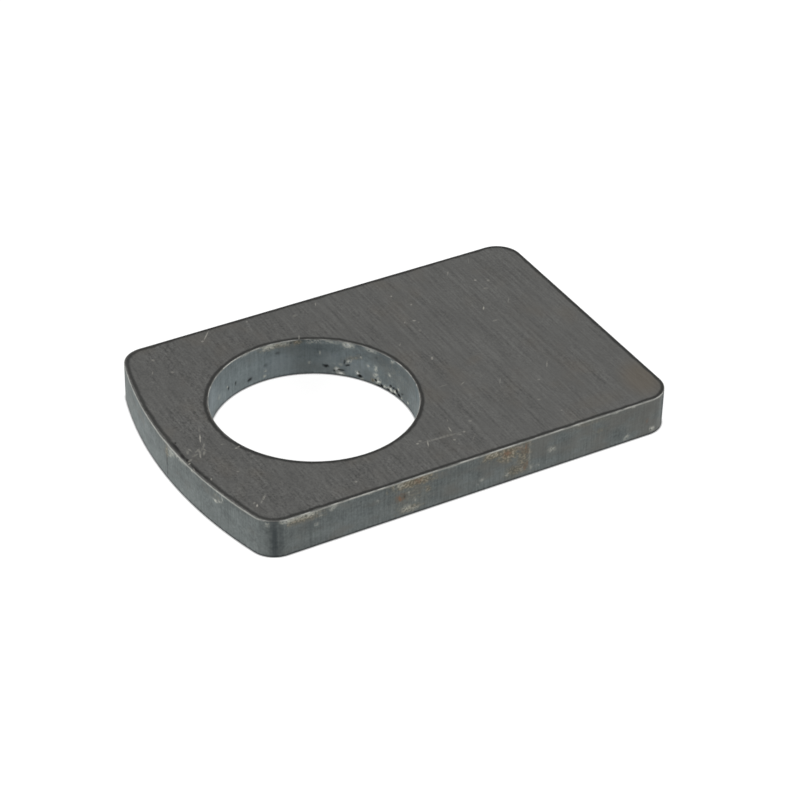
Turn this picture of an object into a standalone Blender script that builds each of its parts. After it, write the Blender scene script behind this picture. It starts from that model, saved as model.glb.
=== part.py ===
"""Locking plate: a flat steel plate that slips over a pin and butts against a stop with its straight edges.

The plate lies on its underside. The origin is at the middle of its length and width, on that underside.
+X runs along the plate towards the square end, and the bowed end with the pin hole is at -X.
"""
import math

import bmesh
import bpy

# Driving dimensions, in metres
THICKNESS = 0.008
HOLE_DIAMETER = 0.039
SIDE_WALL = 0.0105
BOW_WALL = 0.0105
TAIL_LENGTH = 0.060
BOW_RISE = 0.005
BOW_CORNER_RADIUS = 0.005
SQUARE_CORNER_RADIUS = 0.005
EDGE_BREAK = 0.00015

# SIDE_WALL is the steel left between the hole and each long side, BOW_WALL between the hole and the crown of the
# bow. TAIL_LENGTH runs from the hole's centre to the square end. BOW_RISE is how far the crown stands out beyond
# the points where the bow would meet the long sides if its corners were sharp.

# Fineness of the round stretches: how far a facet may lie from its true arc, and how sharp an edge stays crisp
CHORD_ERROR = 0.00001
CRISP_ANGLE = math.radians(20)
WELD_DISTANCE = 0.000001

# Bare hot rolled steel, dark with mill scale
STEEL_COLOUR = (0.115, 0.113, 0.106, 1.0)
STEEL_ROUGHNESS = 0.55
STEEL_METALLIC = 0.6

# Sizes that follow from the driving dimensions
HOLE_RADIUS = HOLE_DIAMETER / 2
HALF_WIDTH = HOLE_RADIUS + SIDE_WALL
CROWN_TO_HOLE = BOW_WALL + HOLE_RADIUS
HALF_LENGTH = (CROWN_TO_HOLE + TAIL_LENGTH) / 2
HOLE_X = CROWN_TO_HOLE - HALF_LENGTH
BOW_RADIUS = (HALF_WIDTH ** 2 + BOW_RISE ** 2) / (2 * BOW_RISE)


def clear_scene():
    """Remove every object, so that the file holds the plate alone."""
    for old in list(bpy.data.objects):
        bpy.data.objects.remove(old, do_unlink=True)


def arc(centre, radius, start, end):
    """Points along an arc from angle start to angle end, with enough of them to keep to CHORD_ERROR."""
    finest_step = 2 * math.acos(1 - min(CHORD_ERROR / radius, 1))
    steps = max(2, math.ceil(abs(end - start) / finest_step))
    angles = [start + (end - start) * i / steps for i in range(steps + 1)]
    return [(centre[0] + radius * math.cos(a), centre[1] + radius * math.sin(a)) for a in angles]


def plate_loop():
    """The plate's outline, anticlockwise: square end, long side, bow with its two corners, long side."""
    quarter = math.pi / 2
    square_radius = min(SQUARE_CORNER_RADIUS, HALF_WIDTH)
    bow_corner = min(BOW_CORNER_RADIUS, HALF_WIDTH)
    square_x = HALF_LENGTH - square_radius
    square_y = HALF_WIDTH - square_radius
    bow_x = BOW_RADIUS - HALF_LENGTH

    # A bow corner's arc touches the long side and, from inside, the bow
    corner_y = HALF_WIDTH - bow_corner
    corner_x = bow_x - math.sqrt((BOW_RADIUS - bow_corner) ** 2 - corner_y ** 2)
    bow_start = math.atan2(corner_y, corner_x - bow_x)
    bow_end = 2 * math.pi - bow_start

    stretches = [
        arc((square_x, -square_y), square_radius, -quarter, 0),
        arc((square_x, square_y), square_radius, 0, quarter),
        arc((corner_x, corner_y), bow_corner, quarter, bow_start),
        arc((bow_x, 0), BOW_RADIUS, bow_start, bow_end),
        arc((corner_x, -corner_y), bow_corner, bow_end, 3 * quarter),
    ]
    return joined(stretches)


def hole_loop():
    """The pin hole's outline, clockwise, so that steel is on its left as it is on the plate's outline."""
    return joined([arc((HOLE_X, 0), HOLE_RADIUS, 2 * math.pi, 0)])


def joined(stretches):
    """One closed loop from stretches that follow each other, with no point given twice."""
    loop = []
    for point in [p for stretch in stretches for p in stretch]:
        if not loop or math.dist(point, loop[-1]) > WELD_DISTANCE:
            loop.append(point)
    if math.dist(loop[0], loop[-1]) <= WELD_DISTANCE:
        loop.pop()
    return loop


def cut_from_sheet(name, loops, thickness, edge_break):
    """Extrude flat loops to a plate with broken edges, standing on z = 0, as one closed mesh."""
    edge_break = min(edge_break, thickness / 4)
    curve = bpy.data.curves.new(name + "_profile", "CURVE")
    curve.dimensions = "2D"
    curve.fill_mode = "BOTH"
    curve.extrude = thickness / 2 - edge_break
    curve.bevel_depth = edge_break
    curve.bevel_resolution = 1
    curve.offset = -edge_break
    for loop in loops:
        spline = curve.splines.new("POLY")
        spline.points.add(len(loop) - 1)
        for point, (x, y) in zip(spline.points, loop):
            point.co = (x, y, 0, 1)
        spline.use_cyclic_u = True

    profile = bpy.data.objects.new(name + "_profile", curve)
    profile.location.z = thickness / 2
    bpy.context.scene.collection.objects.link(profile)
    bpy.context.view_layer.update()
    evaluated = profile.evaluated_get(bpy.context.evaluated_depsgraph_get())
    mesh = bpy.data.meshes.new_from_object(evaluated)
    mesh.name = name

    # The curve leaves its caps loose, so they are welded to the walls
    shell = bmesh.new()
    shell.from_mesh(mesh)
    bmesh.ops.remove_doubles(shell, verts=shell.verts, dist=WELD_DISTANCE)
    bmesh.ops.recalc_face_normals(shell, faces=shell.faces)
    shell.to_mesh(mesh)
    shell.free()

    plate = bpy.data.objects.new(name, mesh)
    plate.matrix_world = profile.matrix_world
    bpy.data.objects.remove(profile, do_unlink=True)
    return plate


def mill_scale_steel():
    """Dark, dull hot rolled steel."""
    material = bpy.data.materials.new("mill_scale_steel")
    material.use_nodes = True
    shader = material.node_tree.nodes["Principled BSDF"]
    shader.inputs["Base Color"].default_value = STEEL_COLOUR
    shader.inputs["Roughness"].default_value = STEEL_ROUGHNESS
    shader.inputs["Metallic"].default_value = STEEL_METALLIC
    material.diffuse_color = STEEL_COLOUR
    return material


def build_locking_plate():
    """Model the plate in a collection of its own."""
    collection = bpy.data.collections.new("locking_plate")
    bpy.context.scene.collection.children.link(collection)
    plate = cut_from_sheet("locking_plate", [plate_loop(), hole_loop()], THICKNESS, EDGE_BREAK)
    collection.objects.link(plate)
    plate.data.materials.clear()
    plate.data.materials.append(mill_scale_steel())
    plate.data.shade_smooth()
    plate.data.set_sharp_from_angle(angle=CRISP_ANGLE)
    return plate


clear_scene()
build_locking_plate()
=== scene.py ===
"""Locking plate, dressed for the camera.

One cut steel plate with a bowed head and a round pin hole. The CAD node gives its size and place. The plate
made here has the same shape with a finer skin, so that its pits, crumbs and rubbed edges are real geometry.
Lengths are in metres in the CAD's frame. +X points at the square end, +Z up, and the underside is at z = 0.
"""
import logging
import math
import random
from dataclasses import dataclass, field
from enum import Enum
from typing import Any, Callable, Iterable

import bmesh
import bpy
import numpy as np
from mathutils import Matrix, Vector, noise


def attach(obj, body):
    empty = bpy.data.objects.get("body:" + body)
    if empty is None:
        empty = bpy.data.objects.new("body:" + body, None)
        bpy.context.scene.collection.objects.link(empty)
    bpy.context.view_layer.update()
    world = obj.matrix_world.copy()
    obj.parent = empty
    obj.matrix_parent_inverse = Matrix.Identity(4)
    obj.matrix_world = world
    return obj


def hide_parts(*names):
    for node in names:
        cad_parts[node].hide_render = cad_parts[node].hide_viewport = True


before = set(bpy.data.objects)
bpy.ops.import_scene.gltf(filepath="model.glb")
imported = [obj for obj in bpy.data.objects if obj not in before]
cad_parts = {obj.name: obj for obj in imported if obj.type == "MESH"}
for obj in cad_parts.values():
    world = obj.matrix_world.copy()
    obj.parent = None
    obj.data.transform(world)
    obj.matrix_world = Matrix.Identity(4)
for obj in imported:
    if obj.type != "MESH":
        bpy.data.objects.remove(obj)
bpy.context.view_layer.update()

logging.basicConfig(level=logging.INFO, format="%(name)s: %(message)s")
LOG = logging.getLogger("locking_plate")

Tree = bpy.types.NodeTree
Node = bpy.types.Node
Material = bpy.types.Material
Socket = bpy.types.NodeSocket
Triple = tuple[float, float, float]
Rows = tuple[tuple[float, ...], ...]

MM = 0.001
WELD = 0.001 * MM

# A point this near to a wall's plane lies on that wall
WALL_REACH = 0.4 * MM

# A face lies flat where this much of its normal points up or down
LEVEL_NORMAL = 0.99

WHITE = (1.0, 1.0, 1.0, 1.0)

# Every eased value changes smoothly between its two ends
SMOOTH = {"interpolation_type": "SMOOTHSTEP"}


class Layer(Enum):
    """What is painted on the plate's points, as float attributes that its finishes read."""

    RIM = "rim_distance"
    FILM = "beige_film"
    RUST = "rust_specks"
    PALE = "pale_scuff"
    # A pit's dark is partly painted shade in its dent
    PIT = "dark_pit"
    # Thick scale on the front wall, and painted shade in upright bands at the corners, in the bore and on
    # its rim
    SCALE = "thick_scale"
    THIN = "thin_oxide"


# The layers by their own names, for the tables of marks
RIM, FILM, RUST, PALE, PIT, SCALE, THIN = Layer


class Side(Enum):
    """The walls that a mark can lie on."""

    FRONT = "front"
    BACK = "back"
    BOW = "bow"
    END = "end"
    BOW_CORNER = "bow_corner"
    TAIL_CORNER = "tail_corner"
    BORE = "bore"


class Element(Enum):
    """The parts of a mesh that are selected together."""

    EDGE = "edges"
    FACE = "faces"


class Region(Enum):
    """The plate's surfaces, each with the slot number of its finish."""

    TOP = 0
    UNDERSIDE = 1
    WALL = 2
    BORE = 3
    ARRIS = 4


@dataclass(frozen=True)
class Stroke:
    """A scratch or speck on a rolled face.

    Attributes:
        x: Its middle along the plate, in mm.
        y: Its middle across the plate, in mm.
        reach: Half its length, in mm.
        width: Half its width, in mm.
        turn: Its direction from +X, in degrees.
        strength: How bright it is, up to 1.
    """

    x: float
    y: float
    reach: float = 0.3
    width: float = 0.22
    turn: float = 0.0
    strength: float = 0.5


@dataclass(frozen=True)
class Mark:
    """A blemish on a cut wall.

    Attributes:
        layer: What it is made of.
        along: Its middle along the wall in mm, or in degrees round the bore or round a near corner.
        height: Its middle above the underside, in mm.
        reach: Half its length along the wall, in mm.
        rise: Half its height, in mm.
        strength: How strongly it is painted, up to 1.
        power: 2 for an oval, more for a squarer patch.
        lean: Its turn in the wall's plane, in degrees.
        relief: How far it stands out of the wall, or into it where negative, in mm.
    """

    layer: Layer
    along: float
    height: float
    reach: float = 0.3
    rise: float = 0.3
    strength: float = 1.0
    power: float = 2.0
    lean: float = 0.0
    relief: float = 0.0


def to_linear(code: str) -> tuple[float, float, float, float]:
    """Turn an sRGB hex colour into linear light.

    Args:
        code: The colour as "#rrggbb".

    Returns:
        Red, green, blue and an alpha of 1.
    """
    parts = [int(code[i:i + 2], 16) / 255 for i in (1, 3, 5)]
    light = [c / 12.92 if c <= 0.04045 else ((c + 0.055) / 1.055) ** 2.4 for c in parts]
    return light[0], light[1], light[2], 1.0


def add_node(tree: Tree, kind: str, inputs: dict | Iterable = (), **settings: Any) -> Node:
    """Add a node with its settings and links.

    Args:
        tree: The node tree.
        kind: The node's type without "ShaderNode" in front.
        inputs: What goes into each input, in their order, or by their names or numbers: a value, an output
            socket, or a node whose first output is meant.
        settings: The node's own properties.

    Returns:
        The new node.
    """
    node = tree.nodes.new("ShaderNode" + kind)
    for name, value in settings.items():
        setattr(node, name, value)
    for key, value in inputs.items() if isinstance(inputs, dict) else enumerate(inputs):
        if isinstance(value, Node):
            value = value.outputs[0]
        if isinstance(value, Socket):
            tree.links.new(value, node.inputs[key])
        else:
            node.inputs[key].default_value = value
    return node


def new_material(name: str) -> tuple[Material, Tree]:
    """Make an empty node material.

    Args:
        name: The real material and how its surface was made.

    Returns:
        The material and its node tree.
    """
    material = bpy.data.materials.new(name)
    material.use_nodes = True
    material.node_tree.nodes.clear()
    return material, material.node_tree


def coated(tree: Tree, colour: Any, coats: Iterable[tuple[Any, str]]) -> Socket:
    """Lay coats over a colour, one after another.

    Args:
        tree: The node tree.
        colour: The lowest colour.
        coats: How much of each coat shows, with its sRGB hex colour, from the lowest up.

    Returns:
        The colour of the whole.
    """
    for mask, code in coats:
        layers = {0: mask, 6: colour, 7: to_linear(code)}
        colour = add_node(tree, "Mix", layers, data_type="RGBA").outputs[2]
    return colour


def grain(tree: Tree, place: Socket, size: Triple, detail: float = 2.0, shift: float = 0.0) -> Node:
    """Noise with its own grain size along each axis.

    Args:
        tree: The node tree.
        place: Object coordinates.
        size: The grain's length along X, Y and Z, in mm.
        detail: How many finer layers it has.
        shift: How far the pattern is moved, so that two of them differ.

    Returns:
        Noise about 0.5.
    """
    scale = tuple(1 / (s * MM) for s in size)
    placed = add_node(tree, "Mapping", {"Vector": place, "Location": (shift, shift, shift), "Scale": scale})
    return add_node(tree, "TexNoise", {"Vector": placed, "Scale": 1.0, "Detail": detail})


def weighed(tree: Tree, noises: list[tuple[Node, float]]) -> Node:
    """Add noises up, each about 0.5, to one value about 0.5.

    Args:
        tree: The node tree.
        noises: Each noise with its weight.

    Returns:
        The sum.
    """
    total: Any = 0.5 - 0.5 * sum(weight for _, weight in noises)
    for value, weight in noises:
        total = add_node(tree, "Math", [value, weight, total], operation="MULTIPLY_ADD")
    return total


def painted(tree: Tree, layer: Layer, cover: float, mottle: list | None = None) -> Node:
    """What is painted in a layer, as an even stain or as mottles inside it.

    Args:
        tree: The node tree.
        layer: The painted attribute.
        cover: How much it covers at most.
        mottle: The noise that breaks it up, where in it a mottle begins, and where it covers in full.

    Returns:
        A mask from 0 to cover.
    """
    paint = add_node(tree, "Attribute", attribute_name=layer.value).outputs["Fac"]
    stain = add_node(tree, "MapRange", [paint, 0.0, 0.9, 0.0, cover], **SMOOTH)
    if mottle is None:
        return stain
    broken = add_node(tree, "MapRange", mottle, **SMOOTH)
    return add_node(tree, "Math", [stain, broken], operation="MULTIPLY")


def shown_white(tree: Tree) -> Node:
    """Whether a ray comes from the camera, or from a mirror or glass, which show the white too.

    Args:
        tree: The node tree.

    Returns:
        1 for such a ray and 0 for the rays that light the object.
    """
    rays = add_node(tree, "LightPath").outputs
    shown = rays["Is Camera Ray"]
    for kind in ("Is Glossy Ray", "Is Transmission Ray"):
        shown = add_node(tree, "Math", [shown, rays[kind]], operation="MAXIMUM")
    return shown


@dataclass(frozen=True)
class RolledFace:
    """Hot rolled mild steel under tight mill scale, wiped in one direction.

    To the eye it is a dull, dark, slightly warm grey with fine lines across the plate. It darkens to near
    black in a narrow band along each cut edge, where the cutting heat thickened the scale.
    """

    name: str
    strokes: Rows
    chips: Rows
    tints: Rows
    level: float
    light_line: str = "#575755"
    dark_line: str = "#333332"
    band: str = "#191918"
    chip: str = "#111010"
    scratch: str = "#84827b"
    warm_tint: str = "#504a41"
    line_grain: Triple = (0.6, 5.0, 20.0)
    streak_grain: Triple = (0.36, 14.0, 20.0)
    mottle_grain: Triple = (0.35, 0.5, 20.0)
    patch_grain: Triple = (4.0, 7.0, 20.0)
    cloud_grain: Triple = (8.0, 12.0, 20.0)
    warmth_grain: Triple = (7.0, 9.0, 20.0)
    break_grain: Triple = (0.3, 0.3, 0.3)
    waver_grain: Triple = (2.2, 2.2, 2.2)
    head_to_tail: tuple[float, float] = (-22.0 * MM, 0.0)
    drift: float = 0.06
    line_part: float = 0.42
    streak_part: float = 0.5
    mottle_part: float = 0.95
    cloud_part: float = 0.25
    warm_part: float = 0.22
    band_part: float = 0.92
    relief: float = 0.012 * MM
    roughness: float = 0.6
    metallic: float = 0.1
    specular: float = 0.15

    def stroke_mask(self, tree: Tree, place: Socket, rows: Rows) -> Any:
        """Many strokes as one mask.

        Args:
            tree: The node tree.
            place: Object coordinates.
            rows: The strokes' values.

        Returns:
            A mask from 0 to 1, which is a plain 0 where there are no strokes.
        """
        total: Any = 0.0
        for stroke in (Stroke(*row) for row in rows):
            local = add_node(
                tree, "Mapping",
                {
                    "Vector": place,
                    "Location": (stroke.x * MM, stroke.y * MM, self.level),
                    "Rotation": (0.0, 0.0, math.radians(stroke.turn)),
                    "Scale": (stroke.reach * MM, stroke.width * MM, MM),
                },
                vector_type="TEXTURE",
            )
            ball = add_node(tree, "TexGradient", [local], gradient_type="SPHERICAL").outputs["Fac"]
            mask = add_node(tree, "MapRange", [ball, 0.0, 0.75, 0.0, stroke.strength], **SMOOTH)
            total = add_node(tree, "Math", [mask, total], operation="MAXIMUM")
        return total

    def material(self) -> Material:
        """Build the node material.

        Returns:
            The material.
        """
        material, tree = new_material(self.name)
        place = add_node(tree, "TexCoord").outputs["Object"]
        along = add_node(tree, "SeparateXYZ", [place]).outputs["X"]
        rim = add_node(tree, "Attribute", attribute_name=RIM.value).outputs["Fac"]
        shift = self.level / MM

        # Wiped lines run across the plate, 0.5 to 1 mm apart and up to 14 mm long, over a fine mottle. They
        # come and go in patches. Towards the square end they are clearer, and the mottle is weaker
        lines = grain(tree, place, self.line_grain, 1.0, shift)
        streaks = grain(tree, place, self.streak_grain, 0.0, shift + 61.0)
        mottle = grain(tree, place, self.mottle_grain, 2.0, shift + 3.0)
        patch = grain(tree, place, self.patch_grain, 2.0, shift + 47.0)
        depth = add_node(tree, "MapRange", [patch, 0.35, 0.65, 0.6, 1.3], **SMOOTH)
        worn = add_node(tree, "MapRange", [along, *self.head_to_tail, 1.35, 0.85], **SMOOTH)
        clear = add_node(tree, "MapRange", [along, *self.head_to_tail, 0.35, 1.0], **SMOOTH)
        streaks = add_node(tree, "Math", [streaks, 0.5], operation="SUBTRACT")
        streaks = add_node(tree, "Math", [streaks, clear, 0.5], operation="MULTIPLY_ADD")
        depth = add_node(tree, "Math", [depth, worn], operation="MULTIPLY")
        parts = [(lines, self.line_part), (streaks, self.streak_part), (mottle, self.mottle_part)]
        fine = weighed(tree, parts)
        fine = add_node(tree, "Math", [fine, 0.5], operation="SUBTRACT")

        # Broad clouds lie under them, and the face is a little paler towards the square end
        cloud = grain(tree, place, self.cloud_grain, 2.0, shift + 7.0)
        span = [along, -35.0 * MM, 40.0 * MM, 0.5 - self.drift, 0.5 + self.drift]
        drift = add_node(tree, "MapRange", span, **SMOOTH)
        broad = weighed(tree, [(cloud, self.cloud_part), (drift, 1.0)])
        tone = add_node(tree, "Math", [fine, depth, broad], operation="MULTIPLY_ADD")

        # The scale is browner in faint clouds, and where a tint is given
        warmth = grain(tree, place, self.warmth_grain, 2.0, shift + 27.0)
        warm = add_node(tree, "MapRange", [warmth, 0.5, 0.75, 0.0, self.warm_part], **SMOOTH)
        tinted = self.stroke_mask(tree, place, self.tints)
        warm = add_node(tree, "Math", [warm, tinted], operation="MAXIMUM")

        # Scratches are broken up by the grain that they cross
        scratched = self.stroke_mask(tree, place, self.strokes)
        broken = grain(tree, place, self.break_grain, 2.0, shift + 11.0)
        gaps = add_node(tree, "MapRange", [broken, 0.36, 0.5, 0.45, 1.0], **SMOOTH)
        scratched = add_node(tree, "Math", [scratched, gaps], operation="MULTIPLY")

        # The heat band lies along the cut edges. Its edges waver, and at the bow it lies further in
        waver = grain(tree, place, self.waver_grain, 3.0, shift + 17.0)
        inset = add_node(tree, "MapRange", [along, -26.0 * MM, -39.0 * MM, 0.0, -0.22], **SMOOTH)
        unsteady = add_node(tree, "Math", [waver, 0.6, -0.3], operation="MULTIPLY_ADD")
        reach = add_node(tree, "Math", [rim, unsteady], operation="ADD")
        reach = add_node(tree, "Math", [reach, inset], operation="ADD")
        band = add_node(tree, "MapRange", [reach, 1.05, 0.55, 0.0, self.band_part], **SMOOTH)
        for span in ([reach, 0.0, 0.3], [along, -33.0 * MM, -40.0 * MM, 1.0, 0.86]):
            fading = add_node(tree, "MapRange", span, **SMOOTH)
            band = add_node(tree, "Math", [band, fading], operation="MULTIPLY")

        chipped = self.stroke_mask(tree, place, self.chips)
        colour = coated(tree, to_linear(self.dark_line), [
            (tone, self.light_line),
            (warm, self.warm_tint),
            (band, self.band),
            (chipped, self.chip),
            (scratched, self.scratch),
        ])
        span = [lines, 0.3, 0.7, self.roughness + 0.05, self.roughness - 0.05]
        dull = add_node(tree, "MapRange", span, **SMOOTH)
        bump = add_node(tree, "Bump", {"Strength": 0.3, "Distance": self.relief, "Height": tone})
        shader = add_node(
            tree, "BsdfPrincipled",
            {"Base Color": colour, "Metallic": self.metallic, "Roughness": dull, "Normal": bump,
             "Specular IOR Level": self.specular},
        )
        add_node(tree, "OutputMaterial", [shader])
        return material


@dataclass(frozen=True)
class CutWall:
    """The cut edge of the plate: steel with a thin blue grey oxide skin left by the cut.

    To the eye it is a cooler, smoother grey than the rolled faces, with fine upright drag lines from the
    cut. Beige film, rust, pale scuffs and dark pits lie on it where they are painted. The pits' dark is
    partly painted shade, a crumb's bright middle carries a painted glint, and painted shade darkens the
    lower edge and, in the scale layer, the corners and the bore.
    """

    name: str
    light_drag: str = "#676c6b"
    dark_drag: str = "#303434"
    warm_drag: str = "#54534f"
    thin: str = "#858e92"
    # Thick scale, and painted shade where the scale layer lies at the corners and in the bore
    thick: str = "#282e31"
    olive: str = "#524e43"
    beige: str = "#847e70"
    brown: str = "#524a3f"
    rust: str = "#664f40"
    # Painted shade along the lower edge
    lower_edge_shade: str = "#25292a"
    scuff: str = "#999a92"
    # A painted glint on the bright metal in the middle of a crumb
    crumb_glint: str = "#c3c5c2"
    # Dark of a pit, partly painted shade in its dent
    pit: str = "#0d0f10"
    rubbed: str = "#8d8d87"
    warm_part: float = 0.6
    thin_part: float = 0.4
    scale_and_shade_part: float = 0.6
    olive_part: float = 0.95
    beige_part: float = 0.8
    brown_part: float = 0.7
    rust_part: float = 0.75
    scuff_part: float = 0.85
    crumb_glint_part: float = 0.9
    pit_and_shade_part: float = 1.0
    rubbed_part: float = 0.5
    lower_edge_shade_part: float = 0.8
    rising: float = 0.06
    drag_part: float = 0.65
    mottle_part: float = 0.65
    cloud_part: float = 0.6
    relief: float = 0.02 * MM
    drag_grain: Triple = (0.4, 0.4, 7.0)
    mottle_grain: Triple = (0.5, 0.5, 0.5)
    cloud_grain: Triple = (3.5, 3.5, 2.2)
    tear_grain: Triple = (0.5, 0.5, 0.45)
    speck_grain: Triple = (0.42, 0.42, 0.55)
    coarse_grain: Triple = (1.1, 1.1, 0.9)
    warmth_grain: Triple = (6.0, 6.0, 3.0)
    roughness: float = 0.66
    dead_roughness: float = 0.85
    metallic: float = 0.06
    specular: float = 0.08

    def material(self) -> Material:
        """Build the node material.

        Returns:
            The material.
        """
        material, tree = new_material(self.name)
        place = add_node(tree, "TexCoord").outputs["Object"]
        place_parts = add_node(tree, "SeparateXYZ", [place]).outputs
        along, height = place_parts["X"], place_parts["Z"]
        drag = grain(tree, place, self.drag_grain, 3.0)
        mottle = grain(tree, place, self.mottle_grain, 3.0, 5.0)
        cloud = grain(tree, place, self.cloud_grain, 3.0, 15.0)
        tear = grain(tree, place, self.tear_grain, 3.0, 9.0)
        speck = grain(tree, place, self.speck_grain, 2.0, 13.0)
        coarse = grain(tree, place, self.coarse_grain, 3.0, 33.0)

        # The drag lines are weaker round the bow, and the wall is a little paler towards the underside
        drawn = add_node(tree, "MapRange", [along, -40.5 * MM, -36.5 * MM, 0.6, 1.0], **SMOOTH)
        drag = add_node(tree, "Math", [drag, 0.5], operation="SUBTRACT")
        drag = add_node(tree, "Math", [drag, drawn, 0.5], operation="MULTIPLY_ADD")
        span = [height, 7.5 * MM, 1.0 * MM, 0.5 - self.rising, 0.5 + self.rising]
        rising = add_node(tree, "MapRange", span, **SMOOTH)
        parts = [(drag, self.drag_part), (mottle, self.mottle_part), (cloud, self.cloud_part)]
        tone = weighed(tree, [*parts, (rising, 1.0)])

        # Warmer clouds lie mostly towards the square end
        warmth = grain(tree, place, self.warmth_grain, 2.0, 25.0)
        tailward = add_node(tree, "Math", [along, 0.003 / MM, warmth], operation="MULTIPLY_ADD")
        warm = add_node(tree, "MapRange", [tailward, 0.4, 0.7, 0.0, self.warm_part], **SMOOTH)

        # Specks of rust, broken scuffs and pits, whose dark is partly painted shade in their dents. The
        # middle of a crumb of spatter is bright metal with a painted glint
        rust = painted(tree, RUST, self.rust_part, [speck, 0.45, 0.65])
        scuff = painted(tree, PALE, self.scuff_part, [tear, 0.32, 0.58])
        pit = painted(tree, PIT, self.pit_and_shade_part, [tear, 0.2, 0.42])
        crumb_glint = add_node(tree, "Attribute", attribute_name=PALE.value).outputs["Fac"]
        crumb_glint = add_node(tree, "MapRange", [crumb_glint, 0.75, 0.98, 0.0, self.crumb_glint_part], **SMOOTH)

        # The wall is rubbed pale along its upper edge except under the scale layer's thick scale and painted
        # shade, and its lower edge is darkened with painted shade where it stands on the floor
        scale = add_node(tree, "Attribute", attribute_name=SCALE.value).outputs["Fac"]
        bare = add_node(tree, "MapRange", [scale, 0.4, 0.0], **SMOOTH)
        span = [height, 7.55 * MM, 7.8 * MM, 0.0, self.rubbed_part]
        upper = add_node(tree, "MapRange", span, **SMOOTH)
        upper = add_node(tree, "Math", [upper, bare], operation="MULTIPLY")
        waver = add_node(tree, "Math", [mottle, 0.5 * MM, height], operation="MULTIPLY_ADD")
        span = [waver, 0.9 * MM, 0.4 * MM, 0.0, self.lower_edge_shade_part]
        lower = add_node(tree, "MapRange", span, **SMOOTH)

        # Film is an olive stain with beige mottles, and rust a brown stain with rust red specks
        colour = coated(tree, to_linear(self.dark_drag), [
            (tone, self.light_drag),
            (warm, self.warm_drag),
            (painted(tree, THIN, self.thin_part), self.thin),
            # Thick scale, and painted shade at the corners and in the bore
            (painted(tree, SCALE, self.scale_and_shade_part), self.thick),
            (painted(tree, FILM, self.olive_part, [coarse, 0.05, 0.35]), self.olive),
            (painted(tree, FILM, self.beige_part, [tear, 0.42, 0.66]), self.beige),
            (painted(tree, RUST, self.brown_part, [coarse, 0.25, 0.5]), self.brown),
            (rust, self.rust),
            (scuff, self.scuff),
            (crumb_glint, self.crumb_glint),
            (pit, self.pit),
            (upper, self.rubbed),
            (lower, self.lower_edge_shade),
        ])

        # Rust, scuffs and pits are duller than the oxide, and not metallic
        dead = rust
        for mask in (scuff, pit):
            dead = add_node(tree, "Math", [dead, mask], operation="MAXIMUM")
        metallic = add_node(tree, "MapRange", [dead, 0.0, 1.0, self.metallic, 0.0], **SMOOTH)
        span = [dead, 0.0, 1.0, self.roughness, self.dead_roughness]
        roughness = add_node(tree, "MapRange", span, **SMOOTH)
        height_map = add_node(tree, "Math", [tear, dead, tone], operation="MULTIPLY_ADD")
        bump = add_node(tree, "Bump", {"Strength": 0.5, "Distance": self.relief, "Height": height_map})
        shader = add_node(
            tree, "BsdfPrincipled",
            {"Base Color": colour, "Metallic": metallic, "Roughness": roughness, "Normal": bump,
             "Specular IOR Level": self.specular},
        )
        add_node(tree, "OutputMaterial", [shader])
        return material


@dataclass(frozen=True)
class RubbedArris:
    """The broken edge of the plate, rubbed to bare steel by handling.

    To the eye it is a thin pale line between the dark band on the face and the blue grey wall.
    """

    name: str
    thickness: float
    bare: str = "#959590"
    dulled: str = "#61625e"
    # The heat band's dark at the very top, and painted shade on the lower edges and where the scale layer
    # lies
    band_and_shade: str = "#1d1f20"
    patch_grain: Triple = (2.2, 2.2, 2.2)
    fine_grain: Triple = (0.3, 0.3, 0.3)
    scale_and_shade_cover: float = 0.75
    relief: float = 0.015 * MM
    roughness: float = 0.55
    metallic: float = 0.1
    specular: float = 0.15

    def material(self) -> Material:
        """Build the node material.

        Returns:
            The material.
        """
        material, tree = new_material(self.name)
        place = add_node(tree, "TexCoord").outputs["Object"]
        place_parts = add_node(tree, "SeparateXYZ", [place]).outputs
        along, height = place_parts["X"], place_parts["Z"]
        patchy = grain(tree, place, self.patch_grain, 4.0)
        fine = grain(tree, place, self.fine_grain, 2.0, 4.0)
        middle = self.thickness / 2

        # Bare in patches, less so at both ends of the plate, and dark at the very top. The lower edges are
        # darkened with painted shade, and so is the arris where the scale layer lies
        fades = (
            ([patchy, 0.35, 0.62], self.bare),
            ([along, -37.5 * MM, -43.0 * MM, 0.0, 0.62], self.dulled),
            ([along, 28.0 * MM, 38.0 * MM, 0.0, 0.3], self.dulled),
            ([height, self.thickness - 0.1 * MM, self.thickness, 0.0, 0.55], self.band_and_shade),
            ([height, middle + MM, middle - MM], self.band_and_shade),
        )
        coats = [(add_node(tree, "MapRange", span, **SMOOTH), code) for span, code in fades]
        # The scale layer lays painted shade on the arris at the corners and round the bore's rim
        coats.append((painted(tree, SCALE, self.scale_and_shade_cover), self.band_and_shade))
        colour = coated(tree, to_linear(self.dulled), coats)
        bump = add_node(tree, "Bump", {"Strength": 0.4, "Distance": self.relief, "Height": fine})
        shader = add_node(
            tree, "BsdfPrincipled",
            {"Base Color": colour, "Metallic": self.metallic, "Roughness": self.roughness,
             "Normal": bump, "Specular IOR Level": self.specular},
        )
        add_node(tree, "OutputMaterial", [shader])
        return material


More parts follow.
